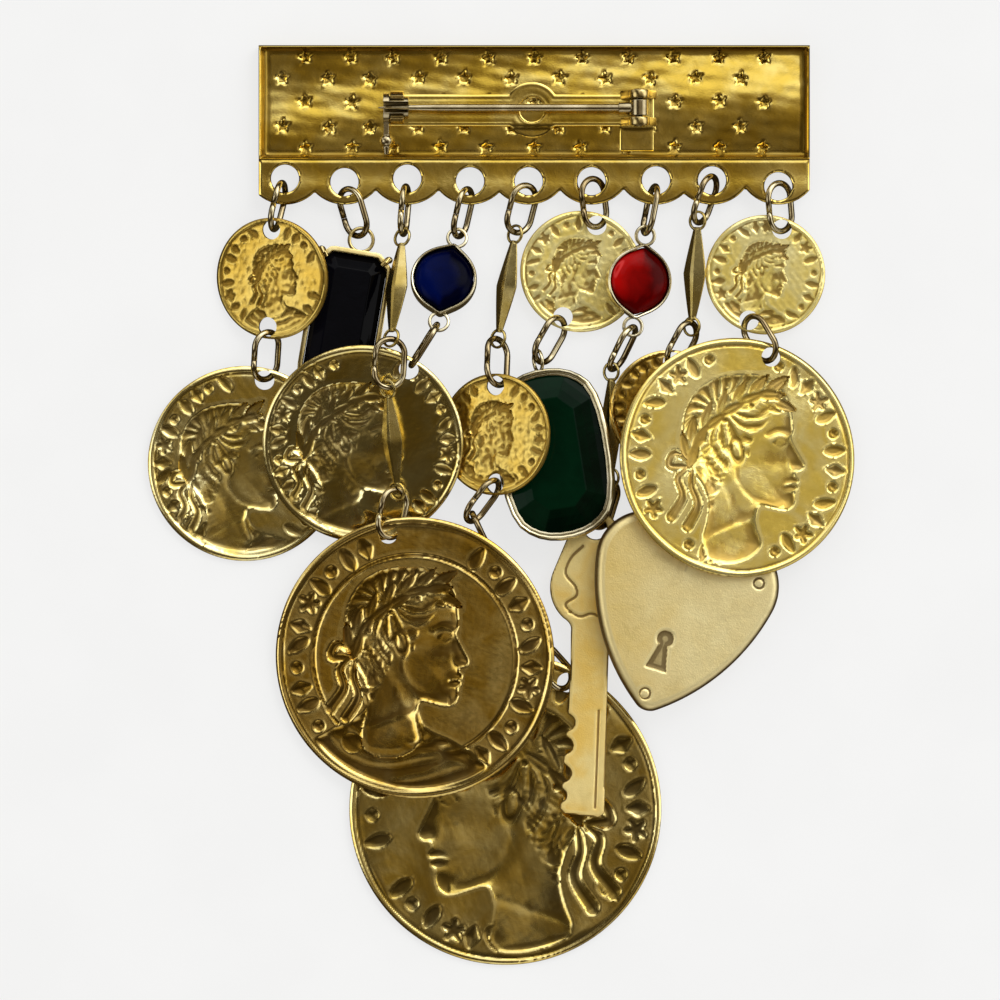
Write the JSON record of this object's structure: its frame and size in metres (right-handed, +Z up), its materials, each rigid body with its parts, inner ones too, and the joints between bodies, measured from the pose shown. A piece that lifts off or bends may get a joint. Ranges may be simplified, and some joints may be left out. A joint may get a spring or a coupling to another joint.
{
  "type": "coin charm brooch",
  "caption": "Bar brooch with a hinged pin and safety catch, hung with stamped coin charms, faceted spindle links, glass stones in settings, a heart padlock and a key on jump rings.",
  "frame": {"origin": "bottom centre of the bounding box: the surface that the brooch lies on, face down", "axes": "+Y from the charms towards the bar's top edge, +X to the right as seen from the back, +Z up out of the back, towards the pin"},
  "size_m": [0.0833, 0.1084, 0.0079],
  "materials": {
    "bar_gold": "stamped sheet, polished, worn, with darkened recesses",
    "pin_gold": "polished, lightly tarnished",
    "ring_pale": "polished pale gilt wire, tarnished at the sides",
    "link_gold": "satin facets with worn ridges",
    "coin_small": "rough stamped back, warm gilt with dark recesses",
    "coin_gold": "stamped back, gilt, dark in the recesses",
    "coin_bronze": "stamped back, antiqued, bright along the rim",
    "coin_dark": "stamped back, dark antiqued bronze",
    "coin_bright": "stamped back, bright yellow gilt",
    "setting_gold": "polished, worn gilt",
    "setting_pale": "polished pale gilt",
    "stone_black": "polished opaque black glass",
    "stone_green": "polished clear green glass, faceted",
    "stone_blue": "polished clear blue glass, faceted",
    "stone_red": "polished clear red glass, faceted",
    "lock_gold": "satin champagne gilt, bead-blasted",
    "key_gold": "satin gilt, fine grain"
  },
  "bodies": {
    "brooch": {"bar": "bar_gold", "s1_ring_top": "ring_pale", "s1_small_coin": "coin_small", "s1_ring_low": "ring_pale", "s1_medium_coin": "coin_gold", "s2_ring_top": "ring_pale", "s2_black_setting": "setting_gold", "s2_black_stone": "stone_black", "s3_ring_top": "ring_pale", "s3_link_upper": "link_gold", "s3_ring_mid": "ring_pale", "s3_link_lower": "link_gold", "s3_ring_low": "ring_pale", "s3_large_coin": "coin_bronze", "s4_ring_top": "ring_pale", "s4_blue_setting": "setting_pale", "s4_blue_stone": "stone_blue", "s4_ring_low": "ring_pale", "s4_medium_coin": "coin_gold", "s5_ring_top": "ring_pale", "s5_link_upper": "link_gold", "s5_ring_mid": "ring_pale", "s5_small_coin": "coin_small", "s5_ring_low": "ring_pale", "s5_ring_second": "ring_pale", "s5_link_lower": "link_gold", "s5_ring_coin": "ring_pale", "s5_great_coin": "coin_dark", "s6_ring_top": "ring_pale", "s6_small_coin": "coin_small", "s6_ring_low": "ring_pale", "s6_green_setting": "setting_pale", "s6_green_stone": "stone_green", "s7_ring_top": "ring_pale", "s7_red_setting": "setting_pale", "s7_red_stone": "stone_red", "s7_ring_mid": "ring_pale", "s7_link": "link_gold", "s7_ring_low": "ring_pale", "s7_key": "key_gold", "s8_ring_top": "ring_pale", "s8_link": "link_gold", "s8_ring_mid": "ring_pale", "s8_small_coin": "coin_small", "s8_ring_low": "ring_pale", "s8_padlock": "lock_gold", "s9_ring_top": "ring_pale", "s9_small_coin": "coin_small", "s9_ring_low": "ring_pale", "s9_large_coin": "coin_bright"},
    "stem": {"pin_stem": "pin_gold"},
    "rollover": {"rollover": "pin_gold"}
  },
  "joints": [
    {"name": "stem_hinge", "type": "hinge", "parent": "brooch", "child": "stem", "pos_m": [0.0162, 0.0468, 0.0032], "axis": [0, 1, 0], "range_deg": [0, 75]},
    {"name": "rollover_turn", "type": "hinge", "parent": "brooch", "child": "rollover", "pos_m": [-0.0123, 0.0468, 0.0032], "axis": [-1, 0, 0], "range_deg": [0, 100]}
  ]
}
